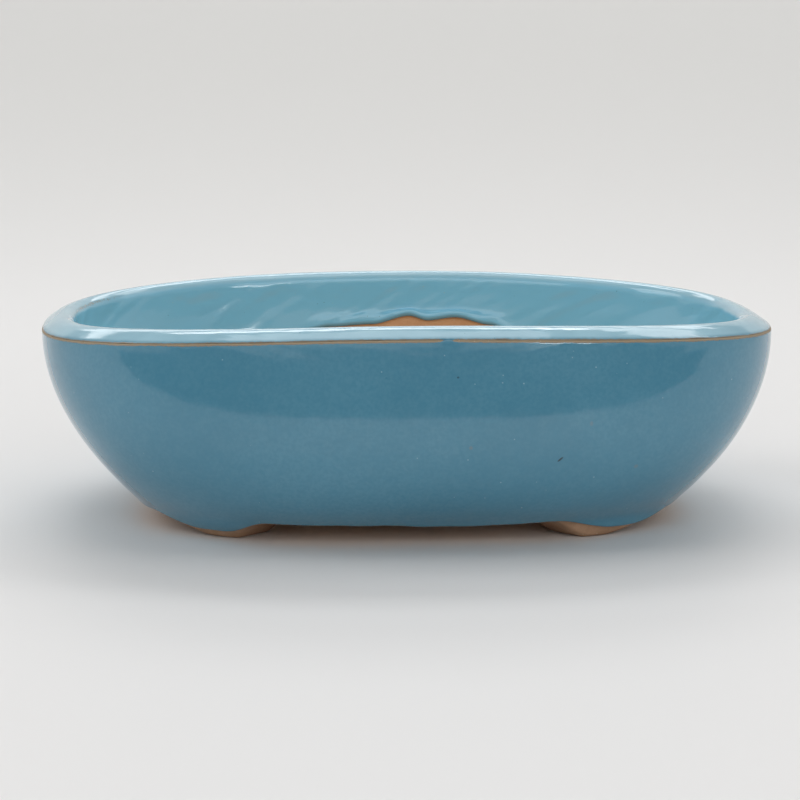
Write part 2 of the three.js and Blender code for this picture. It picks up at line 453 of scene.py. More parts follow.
def thrown_ring(name, profile, around, shift, marks):
    """A closed ring in its round form. The profile goes up the outside and down the inside.

    Shift moves the points, and marks are attributes worked out from where the points are before it."""
    shape = bpy.context.scene.bonsai_shape
    angles = np.linspace(0, 2 * math.pi, around, endpoint=False)[:, None]
    inset = np.tile(profile[:, 0], (around, 1))
    height = np.tile(profile[:, 1], (around, 1))
    attributes = {key: mark(angles, inset, height) for key, mark in marks.items()}
    inset, height = shift(angles, inset, height)
    radius = shape.thrown_radius - inset
    vertices = np.stack([radius * np.cos(angles), radius * np.sin(angles), height], axis=-1).reshape(-1, 3)
    count = len(profile)
    row = np.arange(around)[:, None] * count
    next_row = (np.arange(1, around + 1)[:, None] % around) * count
    step = np.arange(count)[None, :]
    next_step = (step + 1) % count
    faces = np.stack([row + step, next_row + step, next_row + next_step, row + next_step], axis=-1)
    return new_piece(name, vertices, faces.reshape(-1, 4).tolist(), attributes)


def thrown_solid(name, profile, around):
    """A closed solid in its round form, whose profile starts and ends on the axis."""
    shape = bpy.context.scene.bonsai_shape
    angles = np.linspace(0, 2 * math.pi, around, endpoint=False)
    middle = profile[1:-1]
    radius = shape.thrown_radius - middle[:, 0]
    x = np.cos(angles)[:, None] * radius
    y = np.sin(angles)[:, None] * radius
    vertices = np.stack([x, y, np.tile(middle[:, 1], (around, 1))], axis=-1).reshape(-1, 3)
    count = len(middle)
    faces = []
    bottom = around * count
    top = bottom + 1
    for i in range(around):
        row = i * count
        next_row = (i + 1) % around * count
        faces.append((bottom, next_row, row))
        faces.append((row + count - 1, next_row + count - 1, top))
        for j in range(count - 1):
            faces.append((row + j, next_row + j, next_row + j + 1, row + j + 1))
    poles = [(0, 0, profile[0][1]), (0, 0, profile[-1][1])]
    return new_piece(name, np.vstack([vertices, poles]), faces)


def new_piece(name, vertices, faces, attributes=None):
    """A smooth-shaded mesh object at the origin, with its marks stored at the vertices."""
    mesh = bpy.data.meshes.new(name)
    mesh.from_pydata([tuple(vertex) for vertex in vertices], [], faces)
    for key, values in (attributes or {}).items():
        layer = mesh.attributes.new(key, "FLOAT", "POINT")
        layer.data.foreach_set("value", np.ascontiguousarray(values, dtype=np.float32).ravel())
    mesh.validate()
    mesh.shade_smooth()
    piece = bpy.data.objects.new(name, mesh)
    bpy.context.collection.objects.link(piece)
    return piece


def hand_over(piece, slot, *nodes):
    """Attaches a finished piece to the body that it rides on and hides the frame's parts that it stands
    for. The slot that it is given is not used.
    """
    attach(piece, BODY)
    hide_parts(*nodes)


def ease(value, start, end):
    """0 before start, 1 after end and a smooth step between them, for arrays and numbers."""
    t = np.clip((value - start) / (end - start), 0, 1)
    return t * t * (3 - 2 * t)


def smooth_steps(value, places, levels):
    """The levels at the given places, and a smooth step from each to the next."""
    at_place = np.clip(np.searchsorted(places, value) - 1, 0, len(places) - 2)
    along = (value - places[at_place]) / (places[at_place + 1] - places[at_place])
    return levels[at_place] + (levels[at_place + 1] - levels[at_place]) * ease(along, 0, 1)


def nearness(inset, height, place, reach):
    """1 at a place on the profile, falling to 0 at the given reach from it."""
    return np.clip(1 - np.hypot(inset - place[0], height - place[1]) / reach, 0, 1)


# Nineteen in twenty values of the noise lie within about 0.55 of zero. This brings them to about 1.
NOISE_GAIN = 1.8


def round_noise(angles, cells, seed):
    """Smooth noise on a circle that is the given number of noise cells round, mostly within 1 of zero.

    It has about half as many whole waves as cells."""
    turn = cells / math.tau
    spots = [Vector((turn * math.cos(a), turn * math.sin(a), seed)) for a in angles.ravel()]
    return np.array([noise.noise(spot) for spot in spots]).reshape(angles.shape) * NOISE_GAIN


# How far a glaze edge strays along the arris, and the noise cells of its coarse and fine waves.
RAGGED_HEIGHT = 0.045 * MM
RAGGED_CELLS = (90, 420)


def ragged_edge(angles, seed):
    """The small ups and downs of a glaze edge along the arris."""
    coarse, fine = RAGGED_CELLS
    return RAGGED_HEIGHT * (round_noise(angles, coarse, seed) + round_noise(angles, fine, seed + 1))


# ---- node groups that the finishes share --------------------------------------------------------


def surface_group(name, inputs, outputs, build):
    """A shader node group that puts out masks or values. Build is given its inputs by name."""
    if name in bpy.data.node_groups:
        return bpy.data.node_groups[name]
    tree = bpy.data.node_groups.new(name, "ShaderNodeTree")
    for key, default in inputs.items():
        kind = "NodeSocketVector" if default is None else "NodeSocketFloat"
        socket = tree.interface.new_socket(key, in_out="INPUT", socket_type=kind)
        if default is not None:
            socket.default_value = default
    for key in outputs:
        tree.interface.new_socket(key, in_out="OUTPUT", socket_type="NodeSocketFloat")
    given = tree.nodes.new("NodeGroupInput")
    result = tree.nodes.new("NodeGroupOutput")
    values = {key: Number(tree, given.outputs[key]) for key in inputs}
    for key, value in build(tree, values).items():
        feed(tree, value, result.inputs[key])
    return tree


# The range of the noise that is spread over 0 to 1.
NOISE_MIDDLE = (0.32, 0.68)
# The smallest speck's radius, and the size of the finer unevenness, as shares of the full ones.
SMALLEST_SPECK = 0.3
FINE_SIZE = 0.3


def noise_at(tree, vector, size, detail=2.0):
    """Smooth noise between 0 and 1, whose patches are about the given size in metres."""
    scale = Number(tree, 1.0) / size
    node = add_node(tree, "ShaderNodeTexNoise", {"Vector": vector, "Scale": scale, "Detail": detail})
    return Number(tree, node.outputs[0])


def build_drift(tree, given):
    """Broad noise with its middle tones spread out."""
    wide = noise_at(tree, given["Vector"], given["Size"])
    return {"Amount": wide.eased(*NOISE_MIDDLE)}


def build_specks(tree, given):
    """A round spot in some of the cells, of a radius drawn between the smallest and the full one."""
    scale = Number(tree, 1.0) / given["Spacing"]
    cells = add_node(tree, "ShaderNodeTexVoronoi", {"Vector": given["Vector"], "Scale": scale})
    luck = add_node(tree, "ShaderNodeSeparateColor", {0: cells.outputs["Color"]})
    chosen = Number(tree, luck.outputs[0]).math("LESS_THAN", given["Share"])
    share = Number(tree, luck.outputs[1]) * (1 - SMALLEST_SPECK) + SMALLEST_SPECK
    radius = given["Radius"] / given["Spacing"] * share
    away = Number(tree, cells.outputs["Distance"]) / radius
    return {"Mask": away.eased(1.0, 0.5) * chosen}


def build_unevenness(tree, given):
    """Broad noise with a share of finer noise on it."""
    broad = noise_at(tree, given["Vector"], given["Size"], 1.0)
    fine = noise_at(tree, given["Vector"], given["Size"] * FINE_SIZE, 1.0)
    return {"Height": broad + fine * given["Fine Share"]}


def build_worn_edge(tree, given):
    """Nearness to an edge, made ragged by fine noise and cut off softly half way."""
    grain = noise_at(tree, given["Vector"], given["Grain"], 3.0)
    return {"Mask": (given["Edge"] + (grain - 0.5) * given["Raggedness"]).eased(0.35, 0.65)}


def tone_drift():
    """Slow drift of tone from patch to patch."""
    return surface_group("Tone drift", {"Vector": None, "Size": 0.02}, ["Amount"], build_drift)


def specks():
    """Separate round specks of several sizes."""
    inputs = {"Vector": None, "Spacing": 0.003, "Radius": 0.0002, "Share": 0.5}
    return surface_group("Specks", inputs, ["Mask"], build_specks)


def unevenness():
    """Height of a surface that is broadly and finely uneven."""
    inputs = {"Vector": None, "Size": 0.004, "Fine Share": 0.3}
    return surface_group("Unevenness", inputs, ["Height"], build_unevenness)


def worn_edge():
    """Turns nearness to an edge into a mask with a ragged border."""
    inputs = {"Vector": None, "Edge": 0.0, "Grain": 0.0004, "Raggedness": 0.8}
    return surface_group("Worn edge", inputs, ["Mask"], build_worn_edge)


# ---- materials ----------------------------------------------------------------------------------


class Finish:
    """A material that is built up in layers of colour over one Principled shader."""

    # How deep into the wall a spot on the front reaches.
    SPOT_DEPTH = 5 * MM

    def __init__(self, name, base):
        self.material = bpy.data.materials.new(name)
        self.material.use_nodes = True
        self.tree = self.material.node_tree
        self.shader = self.tree.nodes["Principled BSDF"]
        self.place = self.tree.nodes.new("ShaderNodeTexCoord").outputs["Object"]
        self.tone = base

    def group(self, group, **inputs):
        """Adds one of the shared node groups. An underscore in an input's name stands for a space."""
        node = add_node(self.tree, "ShaderNodeGroup", node_tree=group)
        feed(self.tree, inputs.pop("Vector", self.place), node.inputs["Vector"])
        for key, value in inputs.items():
            feed(self.tree, value, node.inputs[key.replace("_", " ")])
        return Number(self.tree, node.outputs[0])

    def stretched(self, x, y, z):
        """Object coordinates, scaled along each axis."""
        node = add_node(self.tree, "ShaderNodeMapping", {"Vector": self.place, "Scale": (x, y, z)})
        return node.outputs[0]

    def mark(self, name):
        """A mask stored on the mesh under the given name."""
        node = add_node(self.tree, "ShaderNodeAttribute", attribute_name=name)
        return Number(self.tree, node.outputs["Fac"])

    def spot(self, place, reach, turn):
        """An oval mark on the front. Reach is its half width and half height, in millimetres."""
        mapping = add_node(
            self.tree,
            "ShaderNodeMapping",
            {
                "Vector": self.place,
                "Location": Vector(place) * MM,
                "Rotation": (0, -math.radians(turn), 0),
                "Scale": (reach[0] * MM, self.SPOT_DEPTH, reach[1] * MM),
            },
            vector_type="TEXTURE",
        )
        away = add_node(self.tree, "ShaderNodeVectorMath", {0: mapping.outputs[0]}, operation="LENGTH")
        return Number(self.tree, away.outputs["Value"]).eased(1.1, 0.6)

    def layer(self, tone, amount):
        """Lays another colour over what is there, by a mask."""
        mix = add_node(self.tree, "ShaderNodeMix", data_type="RGBA")
        feed(self.tree, amount, mix.inputs[0])
        feed(self.tree, self.tone, mix.inputs[6])
        feed(self.tree, tone, mix.inputs[7])
        self.tone = mix.outputs[2]

    def bump(self, height, distance, strength=1.0, after=None):
        inputs = {"Height": height, "Distance": distance, "Strength": strength}
        if after:
            inputs["Normal"] = after
        return add_node(self.tree, "ShaderNodeBump", inputs).outputs[0]

    def finished(self, roughness, normal):
        feed(self.tree, self.tone, self.shader.inputs["Base Color"])
        feed(self.tree, roughness, self.shader.inputs["Roughness"])
        feed(self.tree, normal, self.shader.inputs["Normal"])
        return self.material


GLAZE_IOR = 1.6

# Single flecks that stand out on the front: place and reach in millimetres, and turn in degrees.
FLECKS = (
    {"tone": "dark_speck", "place": (23.8, -51, 17.2), "reach": (0.72, 0.2), "turn": 40, "depth": 0.9},
    {"tone": "dark_speck", "place": (5.5, -53, 32.2), "reach": (0.24, 0.2), "turn": 0, "depth": 0.6},
    {"tone": "deep_blue", "place": (-7.0, -53, 32.2), "reach": (0.26, 0.2), "turn": 0, "depth": 0.8},
    {"tone": "broken_edge", "place": (7.8, -52, 19.7), "reach": (0.4, 0.4), "turn": 0, "depth": 0.35},
    {"tone": "broken_edge", "place": (38, -48, 15), "reach": (0.5, 0.4), "turn": 20, "depth": 0.3},
    {"tone": "broken_edge", "place": (29.3, -50.5, 23.5), "reach": (0.35, 0.5), "turn": 0, "depth": 0.25},
)


def glaze_material():
    """Glossy blue glaze, cloudy in places and painted lighter inside and paler over the lip for the light
    and reflection there, with fine specks, and brown where it breaks over an edge.
    """
    glaze = bpy.context.scene.bonsai_glaze
    finish = Finish("Blue glaze", tuple(glaze.body_blue))
    finish.layer(tuple(glaze.deep_blue), finish.group(tone_drift(), Size=26 * MM) * 0.55)
    finish.layer(tuple(glaze.milk_blue), finish.group(tone_drift(), Size=2.2 * MM) * 0.13)
    finish.layer(tuple(glaze.deep_blue), finish.group(tone_drift(), Size=0.7 * MM) * 0.45)
    # Painted light: the coat inside is thick and cloudy, and is also painted lighter for the light that
    # falls into the pot.
    finish.layer(tuple(glaze.pooled_blue), finish.mark("cloud") * 0.92)
    # Painted reflection: the milky glaze over the lip is painted pale to stand in for the bright
    # surroundings that it reflects.
    milky = finish.mark("milky") * (finish.group(tone_drift(), Size=7 * MM) * 0.18 + 0.82)
    finish.layer(tuple(glaze.lip_blue), milky)
    pale = finish.group(specks(), Spacing=2.1 * MM, Radius=0.19 * MM, Share=0.5)
    finish.layer(tuple(glaze.pale_speck), pale * 0.6)
    fine_dark = finish.group(specks(), Spacing=1.3 * MM, Radius=0.13 * MM, Share=0.3)
    finish.layer(tuple(glaze.deep_blue), fine_dark * 0.9)
    iron = finish.group(specks(), Spacing=9 * MM, Radius=0.2 * MM, Share=0.35)
    finish.layer(tuple(glaze.dark_speck), iron * 0.75)
    finish.layer(tuple(glaze.rolled_edge), finish.mark("rolled"))
    thin = finish.group(worn_edge(), Edge=finish.mark("thin"))
    finish.layer(tuple(glaze.broken_edge), thin)
    for fleck in FLECKS:
        tone = tuple(getattr(glaze, fleck["tone"]))
        spot = finish.spot(fleck["place"], fleck["reach"], fleck["turn"])
        finish.layer(tone, spot * fleck["depth"])
    finish.shader.inputs["IOR"].default_value = GLAZE_IOR
    roughness = finish.group(tone_drift(), Size=9 * MM) * 0.025 + 0.085 + thin * 0.3
    normal = finish.bump(finish.group(unevenness(), Size=5 * MM), 0.02 * MM)
    pits = finish.group(specks(), Spacing=3.1 * MM, Radius=0.14 * MM, Share=0.3)
    return finish.finished(roughness, finish.bump(pits * -1.0, 0.05 * MM, after=normal))


def clay_finish(name, base, shade):
    """Matt gritty clay with pale and dark grains."""
    clay = bpy.context.scene.bonsai_clay
    finish = Finish(name, tuple(base))
    finish.layer(tuple(shade), finish.group(tone_drift(), Size=11 * MM) * 0.6)
    finish.layer(tuple(shade), finish.group(tone_drift(), Size=1.1 * MM) * 0.35)
    height = add_node(finish.tree, "ShaderNodeSeparateXYZ", {0: finish.place}).outputs["Z"]
    at_the_arris = Number(finish.tree, height).eased(CAD_HIGH[2] - 9 * MM, CAD_HIGH[2] - 8 * MM)
    finish.layer(tuple(clay.stained), at_the_arris)
    grog = finish.group(specks(), Spacing=0.9 * MM, Radius=0.2 * MM, Share=0.35)
    finish.layer(tuple(clay.grog), grog * 0.55)
    iron = finish.group(specks(), Spacing=2.4 * MM, Radius=0.2 * MM, Share=0.4)
    finish.layer(tuple(clay.iron), iron * 0.6)
    wiped = finish.group(unevenness(), Vector=finish.stretched(0.25, 0.25, 1.6), Size=3 * MM)
    grain = finish.group(unevenness(), Size=0.5 * MM, Fine_Share=0.8)
    normal = finish.bump(grog * 0.4 + grain, 0.05 * MM, after=finish.bump(wiped, 0.12 * MM))
    return finish.finished(finish.group(tone_drift(), Size=4 * MM) * 0.15 + 0.75, normal)


def clay_material():
    """The bare clay of the wall and floor, painted lighter than the feet's clay for the light that falls
    into the pot and bounces under it.
    """
    clay = bpy.context.scene.bonsai_clay
    return clay_finish("Toasted clay", clay.toasted_and_lit, clay.shaded)


def sole_material():
    """The bare clay of the feet."""
    clay = bpy.context.scene.bonsai_clay
    return clay_finish("Sole clay", clay.sole, clay.sole_shade)


# How far from the pot the table's colour starts and stops changing to the sweep's painted shade.
SHADE_START = 0.2
SHADE_END = 1.0


def table_material():
    """A pale matt table, painted darker further away as shade where the light falls off."""
    stage = bpy.context.scene.bonsai_stage
    finish = Finish("Pale table", tuple(stage.table_colour))
    away = add_node(finish.tree, "ShaderNodeVectorMath", {0: finish.place}, operation="LENGTH")
    far = Number(finish.tree, away.outputs["Value"]).eased(SHADE_START, SHADE_END)
    # Painted shade: darker away from the pot, where the light falls off.
    finish.layer(tuple(stage.far_shade_colour), far)
    normal = finish.bump(finish.group(unevenness(), Size=30 * MM), 0.02 * MM)
    return finish.finished(0.55, normal)


# ---- operators ----------------------------------------------------------------------------------


class BONSAI_OT_clay_body(bpy.types.Operator):
    """Build the clay wall and floor as one fired body, with its drain and wire holes"""

    bl_idname = "bonsai.clay_body"
    bl_label = "Clay Body"

    DRAIN_RADIUS = 6.5 * MM
    DRAIN_X = 21 * MM
    WIRE_RADIUS = 1.5 * MM
    WIRE_PLACE = (34 * MM, 15 * MM)
    AROUND = 360
    HOLE_SIDES = 64

    def execute(self, context):
        shape = context.scene.bonsai_shape
        body = thrown_solid("clay_body", self.profile(shape), self.AROUND)
        pressed(body, clay_material())
        cutter = self.hole_cutter(shape)
        cut = body.modifiers.new("Holes", "BOOLEAN")
        cut.object = cutter
        cut.solver = "EXACT"
        bake(body)
        bpy.data.objects.remove(cutter)
        hand_over(body, "fired_clay", "pot_wall", "pot_floor")
        return {"FINISHED"}

    def profile(self, shape):
        """From the middle of the underside out, up the wall, over the lip and down to the floor."""
        centre = shape.thrown_radius / MM
        underside = at(shape.base_height, (centre, 0), (40, 0), (20, 0), (8, 0), (2.2, 0), (1.3, 0.1))
        outside = at(shape.base_height, (0.8, 0.45), (0.58, 1.1), (0.55, 6), (0.55, 16))
        arris = at(
            shape.arris_height,
            (0.55, -5),
            (0.52, -1.1),
            (0.33, -0.55),
            (0.1, -0.25),
            (0.03, -0.08),
            (0.12, 0.06),
            (0.5, 0.12),
        )
        lip = at(
            shape.arris_height,
            (1.4, 0.5),
            (2.7, 1.1),
            (4.1, 1.45),
            (5.1, 1.2),
            (5.8, 0.4),
            (6.2, -2.5),
            (7.1, -8),
        )
        inside = at(
            shape.floor_top,
            (7.8, 14),
            (8.3, 5.5),
            (9.3, 2.3),
            (11.2, 0.5),
            (14, 0),
            (20, 0),
            (40, 0),
            (centre, 0),
        )
        return smooth_profile(underside + outside + arris + lip + inside, 0.8 * MM)

    def hole_cutter(self, shape):
        """One mesh of spools, flared where they meet the floor's two faces."""
        drain = [(side * self.DRAIN_X, 0, self.DRAIN_RADIUS) for side in (-1, 1)]
        x, y = self.WIRE_PLACE
        wire = [(side * x, end * y, self.WIRE_RADIUS) for side in (-1, 1) for end in (-1, 1)]
        mesh = bmesh.new()
        for x, y, radius in drain + wire:
            self.add_spool(mesh, shape, x, y, radius)
        data = bpy.data.meshes.new("hole_cutter")
        mesh.to_mesh(data)
        mesh.free()
        cutter = bpy.data.objects.new("hole_cutter", data)
        bpy.context.collection.objects.link(cutter)
        return cutter

    def add_spool(self, mesh, shape, x, y, radius):
        """Adds one upright spool that cuts a hole with rounded edges."""
        flare = min(radius * 0.25, 1 * MM)
        clear = 1 * MM
        levels = [(shape.base_height - clear, flare + clear)]
        arc = [math.radians(angle) for angle in (0, 22.5, 45, 67.5, 90)]
        rounding = [(flare * math.sin(a), flare * (1 - math.sin(a)) ** 2) for a in arc]
        levels += [(shape.base_height + rise, grown) for rise, grown in rounding]
        levels += [(shape.floor_top - rise, grown) for rise, grown in reversed(rounding)]
        levels.append((shape.floor_top + clear, flare + clear))
        around = self.HOLE_SIDES
        angles = [math.tau * i / around for i in range(around)]
        rings = []
        for height, grown in levels:
            r = radius + grown
            ring = [(x + r * math.cos(a), y + r * math.sin(a), height) for a in angles]
            rings.append([mesh.verts.new(vertex) for vertex in ring])
        for low, high in zip(rings, rings[1:]):
            for i in range(around):
                j = (i + 1) % around
                mesh.faces.new((low[i], low[j], high[j], high[i]))
        mesh.faces.new(reversed(rings[0]))
        mesh.faces.new(rings[-1])


# Each foot was rolled and pressed on by hand, so no two are alike. Angles are in degrees, from the
# pot's long axis: the foot's middle and how far it spans towards the long side (inner) and the end
# (outer), then the same for the run of glaze over it. Lean is how far its sole stands back.
FEET = {
    "foot_front_left": {
        "corner": (-1, -1), "middle": 42.5, "inner": 10.5, "outer": 19, "flat": 0.25, "lean": 1.3 * MM,
        "run": 2.3 * MM, "run_middle": 42, "run_inner": 13, "run_outer": 16,
    },
    "foot_front_right": {
        "corner": (1, -1), "middle": 48.5, "inner": 11.5, "outer": 25, "flat": 0.15, "lean": -0.4 * MM,
        "run": 2.1 * MM, "run_middle": 42.5, "run_inner": 16, "run_outer": 18,
    },
    "foot_back_left": {
        "corner": (-1, 1), "middle": 50, "inner": 13, "outer": 22, "flat": 0.3, "lean": 0.3 * MM,
        "run": 2.2 * MM, "run_middle": 48, "run_inner": 12, "run_outer": 15,
    },
    "foot_back_right": {
        "corner": (1, 1), "middle": 49, "inner": 14, "outer": 23, "flat": 0.28, "lean": 0.0,
        "run": 1.7 * MM, "run_middle": 49, "run_inner": 12, "run_outer": 14,
    },
}  # fmt: skip


def foot_angle(foot, degrees):
    """An angle of the foot's own corner, turned into an angle round the pot."""
    side_x, side_y = foot["corner"]
    angle = math.radians(degrees)
    return math.atan2(side_y * math.sin(angle), side_x * math.cos(angle))


def foot_reach(foot, angle, middle, inner, outer):
    """How far round from a foot's middle an angle lies: 0 there, 1 at either end, and more beyond."""
    side_x, side_y = foot["corner"]
    turn = np.degrees(angle - foot_angle(foot, middle))
    turn = (turn + 180) % 360 - 180
    towards_side = turn * side_x * side_y
    return np.where(towards_side > 0, towards_side / inner, -towards_side / outer)


def foot_lean(angle, height):
    """How far the feet, and the glaze that runs over them, stand back below the base."""
    shape = bpy.context.scene.bonsai_shape
    below = ease(shape.base_height - height, 0, shape.base_height)
    lean = 0
    for foot in FEET.values():
        reach = foot_reach(foot, angle, foot["middle"], foot["inner"], foot["outer"])
        lean = lean + foot["lean"] * (1 - ease(reach, 0.6, 1.3))
    return lean * below


class BONSAI_OT_feet(bpy.types.Operator):
    """Build the four low feet, pressed on under the corners of the base"""

    bl_idname = "bonsai.feet"
    bl_label = "Feet"

    DEPTH = 10 * MM
    EMBEDDED = 0.3 * MM
    THINNEST = 0.05 * MM
    ROWS = 96
    # How much of the lower face's rise is a straight slope. The rest is a smooth step.
    STRAIGHT_SHARE = 0.45

    def execute(self, context):
        shape = context.scene.bonsai_shape
        material = sole_material()
        for name, foot in FEET.items():
            piece = self.make_foot(name, foot, shape)
            pressed(piece, material)
            hand_over(piece, "foot_clay", name)
        return {"FINISHED"}

    def make_foot(self, name, foot, shape):
        """Sections along the foot, each a closed loop, from one end of the hump to the other."""
        top = shape.base_height + self.EMBEDDED
        loop = self.section(top)
        rows = self.ROWS
        vertices = []
        for i in range(rows + 1):
            u = -1 + 2 * i / rows
            span = foot["inner"] if u > 0 else foot["outer"]
            angle = foot_angle(foot, foot["middle"] + u * span)
            sole = (top - self.THINNEST) * self.rise(abs(u), foot["flat"])
            for inset, height in loop:
                z = sole + height * (top - sole) / top
                radius = shape.thrown_radius - inset - foot_lean(angle, z)
                vertices.append((radius * math.cos(angle), radius * math.sin(angle), z))
        count = len(loop)
        faces = [tuple(range(count)), tuple(reversed(range(rows * count, (rows + 1) * count)))]
        for i in range(rows):
            for j in range(count):
                k = (j + 1) % count
                faces.append((i * count + j, (i + 1) * count + j, (i + 1) * count + k, i * count + k))
        piece = new_piece(name, vertices, faces)
        mesh = bmesh.new()
        mesh.from_mesh(piece.data)
        bmesh.ops.recalc_face_normals(mesh, faces=mesh.faces)
        mesh.to_mesh(piece.data)
        mesh.free()
        return piece

    def rise(self, along, flat):
        """How far the foot's lower face has risen from the sole (0) to the base (1)."""
        straight = np.clip((along - flat) / (1 - flat), 0, 1)
        curved = ease(along, flat * 0.6, 1.0)
        return float(self.STRAIGHT_SHARE * straight + (1 - self.STRAIGHT_SHARE) * curved)

    def section(self, top):
        """The foot cut across: outer face, rounded to the sole, and up its inner face."""
        outer = [(0.6 * MM, top), (0.62 * MM, top * 0.5)] + at(0, (0.8, 0.5), (1.3, 0.1), (2.2, 0), (5, 0))
        inner = at(0, (-2.4, 0), (-1.2, 0.3), (-0.4, 1.2))
        inner = [(self.DEPTH + inset, height) for inset, height in inner]
        loop = smooth_profile(outer + inner + [(self.DEPTH + 0.3 * MM, top)], 0.4 * MM)
        loop[:, 1] = np.clip(loop[:, 1], 0, top)
        return loop.tolist()


# Where along the front the glaze was pinched over the arris, how far to either side, and how high.
PINCH_X = 3.8 * MM
PINCH_REACH = 1.1 * MM
PINCH_LIFT = 0.30 * MM


def pinched(angle):
    """1 at the one place on the front where the glaze was pinched over the arris, 0 elsewhere."""
    shape = bpy.context.scene.bonsai_shape
    x = shape.rim_width * np.cos(angle) / np.maximum(-np.sin(angle), 0.1)
    return np.exp(-(((x - PINCH_X) / PINCH_REACH) ** 2)) * (np.sin(angle) < -0.5)


class BONSAI_OT_outer_glaze(bpy.types.Operator):
    """Build the outside coat of glaze, which runs down a little over each foot"""

    bl_idname = "bonsai.outer_glaze"
    bl_label = "Outer Glaze"

    AROUND = 540
    RUN_REACH = 6 * MM
    BASE_WAVER = 0.12 * MM
    # The coat hangs a little lower along the middle of the front: how much, where, and how far round.
    BASE_SAG = 0.45 * MM
    SAG_X = 8 * MM
    SAG_REACH = 15 * MM
    # How much higher the top edge stands towards the left end.
    LEFT_LIFT = 0.05 * MM
    THIN_REACH = 0.42 * MM
    POOLED_REACH = 2.5 * MM
    POOLED_DEPTH = 0.15

    def execute(self, context):
        shape = context.scene.bonsai_shape
        thickness = context.scene.bonsai_glaze.thickness
        marks = {"thin": self.thin_places, "rolled": self.rolled_places}
        profile = self.profile(shape, thickness)
        ring = thrown_ring("outer_glaze", profile, self.AROUND, self.run_over_feet, marks)
        pressed(ring, glaze_material())
        hand_over(ring, "blue_glaze", "outer_glaze")
        return {"FINISHED"}

    def profile(self, shape, thickness):
        """Up the coat's outer face from its low edge, over its top edge and down behind."""
        back = thickness / MM
        low_edge = at(shape.base_height, (back, 0.3), (0.36, 0.02), (0.15, 0.02), (0.02, 0.22), (0, 0.8))
        wall = at(shape.base_height, (0, 5), (0, 12), (0, 20))
        top_edge = at(shape.arris_height, (0, -6), (0, -1.5), (0.01, -0.5), (0.04, -0.2), (0.09, -0.14))
        behind = at(shape.arris_height, (0.2, -0.35), (0.38, -0.7), (back, -1.3), (back, -6))
        behind += at(shape.base_height, (back, 20), (back, 12), (back, 5), (back, 1))
        front = smooth_profile(low_edge + wall + top_edge, 0.6 * MM)
        return np.vstack([front, smooth_profile(behind, 2 * MM)])

    def thin_places(self, angle, inset, height):
        """Thin along the top edge, apart from where the glaze was pinched over it."""
        arris = bpy.context.scene.bonsai_shape.arris_height
        edge = nearness(inset, height, (0.08 * MM, arris - 0.14 * MM), self.THIN_REACH)
        return edge * (1 - pinched(angle))

    def rolled_places(self, angle, inset, height):
        """A little pooled along the lower edge."""
        base = bpy.context.scene.bonsai_shape.base_height
        return self.POOLED_DEPTH * (1 - ease(height, base, base + self.POOLED_REACH))

    def run_over_feet(self, angle, inset, height):
        """Lowers the coat's lower edge over each foot, and lets both of its edges waver."""
        shape = bpy.context.scene.bonsai_shape
        near = 1 - ease(height, shape.base_height, shape.base_height + self.RUN_REACH)
        x = shape.base_length * np.cos(angle)
        sag = self.BASE_SAG * np.exp(-(((x - self.SAG_X) / self.SAG_REACH) ** 2))
        drop = sag * (np.sin(angle) < 0) + self.BASE_WAVER * round_noise(angle, 40, 2.0)
        for foot in FEET.values():
            reach = foot_reach(foot, angle, foot["run_middle"], foot["run_inner"], foot["run_outer"])
            drop = drop + foot["run"] * (1 - ease(reach, 0.15, 1.0))
        height = height - near * drop
        top = ease(height, shape.arris_height - 1.5 * MM, shape.arris_height - 0.3 * MM)
        lift = ragged_edge(angle, 5.0) + PINCH_LIFT * pinched(angle)
        lift = lift + self.LEFT_LIFT * ease(-np.cos(angle), 0.0, 0.8)
        return inset + foot_lean(angle, height), height + top * lift


